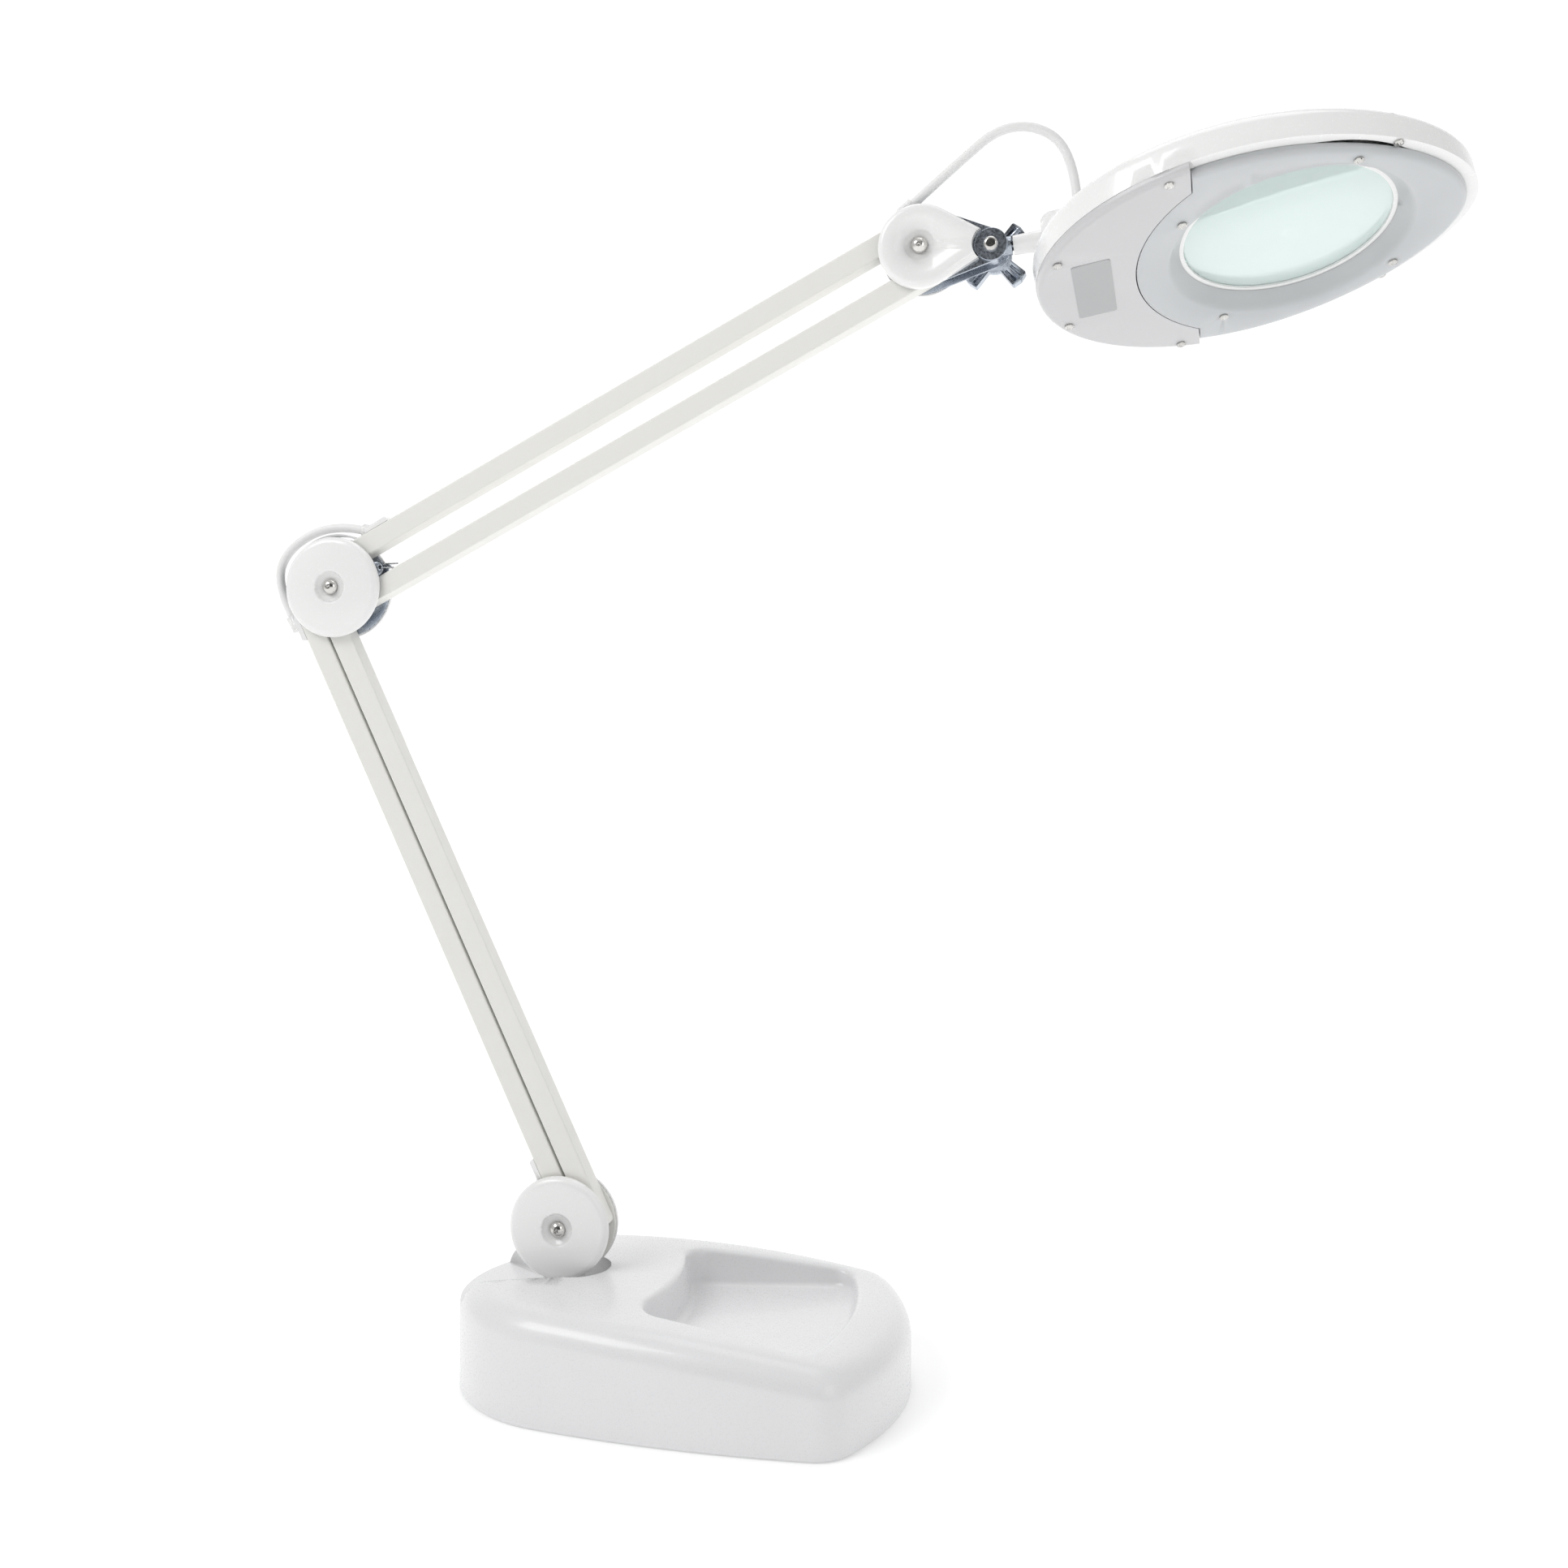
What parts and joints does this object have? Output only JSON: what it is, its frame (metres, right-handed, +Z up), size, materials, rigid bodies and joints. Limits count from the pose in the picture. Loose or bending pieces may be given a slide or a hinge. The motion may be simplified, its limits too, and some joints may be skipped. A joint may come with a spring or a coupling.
{
  "type": "magnifying lamp",
  "caption": "Bench magnifying lamp: tray base, two parallel arm stages, tilting ring-lit head with a round lens and a clamp knob.",
  "frame": {"origin": "underside of the base below the swivel axis", "axes": "+Z up along the swivel axis, +X from the swivel toward the tray and the head, +Y away from the clamp bolt's head"},
  "size_m": [0.6932, 0.1894, 0.7208],
  "materials": {
    "white": "gloss",
    "bar": "satin",
    "zinc": "zinc plated",
    "chromed": "polished",
    "dark": "matt",
    "iron": "as cast",
    "steelsheet": "satin",
    "nylon": "matt",
    "cord": "matt",
    "diffuser": "frosted",
    "glass": "polished",
    "board": "solder mask",
    "led": "gloss",
    "label": "printed foil, blank",
    "base_white": "satin gloss",
    "driver": "solder mask",
    "spring": "drawn wire"
  },
  "bodies": {
    "base": {"base_cover": "base_white", "base_plate": "steelsheet", "ballast": "iron", "base_pad": "dark", "plate_screws": "zinc", "spigot_bush": "nylon"},
    "swivel": {"swivel_bracket": "white", "spigot": "zinc", "spigot_clip": "zinc", "base_plate_near": "bar", "base_plate_far": "bar", "bracket_rivets": "zinc", "base_pins": "zinc", "base_cap_near": "white", "base_cap_far": "white", "base_cap_screws": "chromed"},
    "lower_rear": {"lower_rear_bar": "bar", "lower_rear_spring": "spring", "lower_clips": "white"},
    "lower_front": {"lower_front_bar": "bar"},
    "elbow": {"elbow_plate_near": "zinc", "elbow_plate_far": "zinc", "elbow_pins": "zinc", "elbow_cap_near": "white", "elbow_cap_far": "white", "elbow_cap_screws": "chromed", "elbow_cord": "cord", "balance_wires": "spring"},
    "upper_low": {"upper_low_bar": "bar", "upper_low_spring": "spring"},
    "upper_high": {"upper_high_bar": "bar", "upper_clips": "white", "cord_strap": "nylon"},
    "bracket": {"head_plate_near": "zinc", "head_plate_far": "zinc", "head_pins": "zinc", "joint_cap_near": "white", "joint_cap_far": "white", "joint_cap_screws": "chromed", "tilt_bolt": "chromed", "tilt_washers": "zinc"},
    "knob": {"clamp_knob": "zinc"},
    "tilt": {"tilt_knuckle": "zinc", "tilt_rod": "zinc"},
    "head": {"head_socket": "white", "head_top_shell": "white", "head_cover": "white", "diffuser_ring": "diffuser", "lens": "glass", "lens_retainer": "white", "led_board": "board", "leds": "led", "driver_board": "driver", "ring_screws": "chromed", "cover_screws": "chromed", "rating_label": "label", "switch_frame": "white", "cord_grommet": "white", "head_cord": "cord"},
    "switch": {"switch_rocker": "white"}
  },
  "joints": [
    {"name": "base_swivel", "type": "hinge", "parent": "base", "child": "swivel", "pos_m": [0, 0, 0.05], "axis": [0, 0, 1], "range_deg": [-25, 25]},
    {"name": "lower_lift", "type": "hinge", "parent": "swivel", "child": "lower_rear", "pos_m": [0.0063, 0, 0.0911], "axis": [0, -1, 0], "range_deg": [-50, 2.5], "deforming": ["elbow_cord"]},
    {"name": "lower_pair", "type": "hinge", "parent": "swivel", "child": "lower_front", "pos_m": [0.0219, 0, 0.0911], "axis": [0, -1, 0], "range_deg": [-51, 3.5]},
    {"name": "elbow_level", "type": "hinge", "parent": "lower_rear", "child": "elbow", "pos_m": [-0.16725, 0, 0.45991], "axis": [0, -1, 0], "range_deg": [-3.5, 51]},
    {"name": "upper_lift", "type": "hinge", "parent": "elbow", "child": "upper_low", "pos_m": [-0.13053, 0, 0.45744], "axis": [0, -1, 0], "range_deg": [-50, 18], "deforming": ["elbow_cord", "head_cord", "balance_wires"]},
    {"name": "upper_pair", "type": "hinge", "parent": "elbow", "child": "upper_high", "pos_m": [-0.14308, 0, 0.48158], "axis": [0, -1, 0], "range_deg": [-51, 19]},
    {"name": "bracket_level", "type": "hinge", "parent": "upper_low", "child": "bracket", "pos_m": [0.21896, 0, 0.63914], "axis": [0, -1, 0], "range_deg": [-19, 51]},
    {"name": "head_tilt", "type": "hinge", "parent": "bracket", "child": "tilt", "pos_m": [0.25224, 0, 0.6504], "axis": [0, -1, 0], "range_deg": [-70, 45], "deforming": ["head_cord"]},
    {"name": "knob_turn", "type": "hinge", "parent": "bracket", "child": "knob", "pos_m": [0.25224, 0.018, 0.6504], "axis": [0, 1, 0], "range_deg": [0, 330]},
    {"name": "head_roll", "type": "hinge", "parent": "tilt", "child": "head", "pos_m": [0.25224, 0, 0.6504], "axis": [0.9954, 0, 0.0958], "range_deg": [-50, 60], "deforming": ["head_cord"]},
    {"name": "switch_rock", "type": "hinge", "parent": "head", "child": "switch", "pos_m": [0.31954, -0.04561, 0.65769], "axis": [0.0545, 0.9542, -0.294], "range_deg": [0, 16]}
  ],
  "couplings": [
    {"joint": "lower_pair", "follows": "lower_lift", "ratio": 1},
    {"joint": "elbow_level", "follows": "lower_lift", "ratio": -1},
    {"joint": "upper_pair", "follows": "upper_lift", "ratio": 1},
    {"joint": "bracket_level", "follows": "upper_lift", "ratio": -1}
  ]
}
